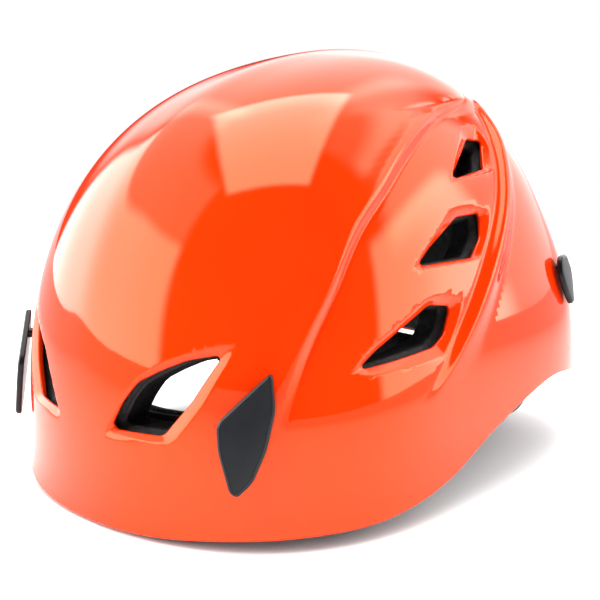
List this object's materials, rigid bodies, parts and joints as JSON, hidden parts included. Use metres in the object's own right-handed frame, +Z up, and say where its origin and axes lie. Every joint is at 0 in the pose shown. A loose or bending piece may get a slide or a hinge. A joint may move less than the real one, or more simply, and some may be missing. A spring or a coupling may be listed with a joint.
{
  "type": "climbing helmet",
  "caption": "Hard-shell climbing helmet with foam liner, vents, headlamp clips, dial-adjusted headband and chin harness.",
  "frame": {"origin": "middle of the bounding box, on the surface that the helmet stands on", "axes": "+Z up, -Y towards the front of the helmet, +X towards the wearer's left"},
  "size_m": [0.2292, 0.2857, 0.2038],
  "materials": {
    "shell": "high gloss injection-moulded ABS",
    "liner_foam": "black expanded polystyrene bead foam",
    "clip": "fine satin moulded nylon",
    "band_plastic": "satin moulded polyethylene",
    "dial_plastic": "satin moulded nylon",
    "pad_fabric": "brushed knit over soft foam",
    "webbing": "woven polyester webbing",
    "steel": "zinc-plated screws"
  },
  "bodies": {
    "shell": {"outer_shell": "shell", "foam_liner": "liner_foam", "clip_front_left": "clip", "clip_front_right": "clip", "clip_rear_left": "clip", "clip_rear_right": "clip", "temple_pin_left": "dial_plastic", "temple_pin_right": "dial_plastic", "anchor_front_left": "band_plastic", "anchor_front_right": "band_plastic", "anchor_rear_left": "band_plastic", "anchor_rear_right": "band_plastic", "divider_left": "band_plastic", "divider_right": "band_plastic", "strap_front_left": "webbing", "strap_front_right": "webbing", "strap_rear_left": "webbing", "strap_rear_right": "webbing", "chin_strap_left": "webbing", "chin_strap_right": "webbing", "crown_pad": "pad_fabric", "front_band": "band_plastic", "brow_pad": "pad_fabric", "buckle_female": "clip", "strap_tail": "webbing", "strap_keeper": "pad_fabric"},
    "arms": {"side_arm_left": "band_plastic", "side_arm_right": "band_plastic"},
    "cradle": {"nape_cradle": "band_plastic", "nape_pad": "pad_fabric", "dial_cover": "band_plastic", "cover_screw_left": "steel", "cover_screw_right": "steel"},
    "rack_left": {"rack_left": "dial_plastic"},
    "rack_right": {"rack_right": "dial_plastic"},
    "dial": {"dial_pinion": "dial_plastic", "size_dial": "dial_plastic", "dial_screw": "steel"},
    "lever_left": {"divider_lever_left": "clip"},
    "lever_right": {"divider_lever_right": "clip"},
    "buckle_male": {"buckle_male": "clip"}
  },
  "joints": [
    {"name": "cradle_tilt", "type": "hinge", "parent": "shell", "child": "arms", "pos_m": [0, -0.005, 0.05], "axis": [1, 0, 0], "range_deg": [0, 16]},
    {"name": "size_slide", "type": "slide", "parent": "arms", "child": "cradle", "axis": [0, -0.9703, 0.2419], "range_m": [0, 0.028]},
    {"name": "dial_turn", "type": "hinge", "parent": "cradle", "child": "dial", "pos_m": [0, 0.09882, 0.02411], "axis": [0, -0.9703, 0.2419], "range_deg": [0, 322]},
    {"name": "rack_left_slide", "type": "slide", "parent": "cradle", "child": "rack_left", "axis": [-1, 0, 0], "range_m": [0, 0.028]},
    {"name": "rack_right_slide", "type": "slide", "parent": "cradle", "child": "rack_right", "axis": [1, 0, 0], "range_m": [0, 0.028]},
    {"name": "lever_left_open", "type": "hinge", "parent": "shell", "child": "lever_left", "pos_m": [0.046, 0.008, 0.0064], "axis": [0, -1, 0], "range_deg": [0, 80]},
    {"name": "lever_right_open", "type": "hinge", "parent": "shell", "child": "lever_right", "pos_m": [-0.046, 0.008, 0.0064], "axis": [0, 1, 0], "range_deg": [0, 80]},
    {"name": "buckle_release", "type": "slide", "parent": "shell", "child": "buckle_male", "axis": [-1, 0, 0], "range_m": [0, 0.024], "deforming": ["chin_strap_right"]}
  ],
  "couplings": [
    {"joint": "dial_turn", "follows": "size_slide", "rad_per_m": 200},
    {"joint": "rack_left_slide", "follows": "size_slide", "ratio": 1},
    {"joint": "rack_right_slide", "follows": "size_slide", "ratio": 1}
  ]
}
